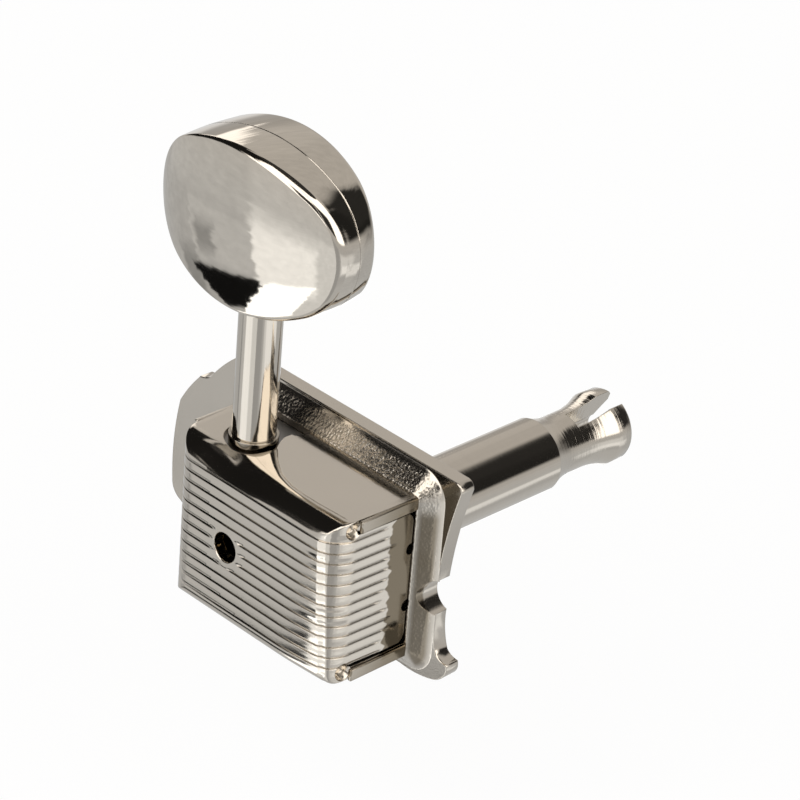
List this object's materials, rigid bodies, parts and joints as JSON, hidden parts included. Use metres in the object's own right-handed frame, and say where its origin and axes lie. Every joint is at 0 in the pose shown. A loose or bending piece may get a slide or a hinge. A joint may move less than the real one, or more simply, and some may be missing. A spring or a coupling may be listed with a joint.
{
  "type": "guitar tuning machine",
  "caption": "Geared tuning machine for a guitar headstock: ribbed gear case on a stamped plate, slotted string post and oval metal button on a stem.",
  "frame": {"origin": "where the string post's axis meets the plane of the plate's mounting face, on the centre of the post's hole through the headstock", "axes": "+Y along the string post, out of the headstock to its slotted tip; +Z along the button's stem, away from the headstock's edge; +X along that edge, towards the plate's end with the half-round notch"},
  "size_m": [0.0313, 0.0364, 0.0405],
  "materials": {
    "plate_nickel": "satin nickel plating on stamped steel",
    "cover_nickel": "polished nickel plating on ridged sheet steel",
    "button_nickel": "polished nickel plating on cast metal",
    "post_nickel": "polished nickel plating with fine turning marks",
    "stem_nickel": "polished nickel plating on turned steel",
    "bush_steel": "dull sintered steel",
    "washer_steel": "plain stamped steel",
    "wheel_brass": "cut brass with a film of grease",
    "sleeve_brass": "turned brass"
  },
  "bodies": {
    "gearbox": {"base_plate": "plate_nickel", "cover": "cover_nickel", "upper_bush": "bush_steel", "lower_bush": "bush_steel", "wheel_washer": "washer_steel"},
    "button_shaft": {"worm_shaft": "stem_nickel", "shaft_collar": "stem_nickel", "upper_washer": "washer_steel", "lower_washer": "washer_steel", "button_front": "button_nickel", "button_rear": "button_nickel", "button_sleeve": "sleeve_brass"},
    "post": {"string_post": "post_nickel", "worm_wheel": "wheel_brass"}
  },
  "joints": [
    {"name": "button_turn", "type": "hinge", "parent": "gearbox", "child": "button_shaft", "pos_m": [-0.00656, -0.0063, 0], "axis": [0, 0, 1], "continuous": true},
    {"name": "post_turn", "type": "hinge", "parent": "gearbox", "child": "post", "pos_m": [0, 0, 0], "axis": [0, 1, 0], "continuous": true}
  ],
  "couplings": [
    {"joint": "post_turn", "follows": "button_turn", "ratio": -0.066667}
  ]
}
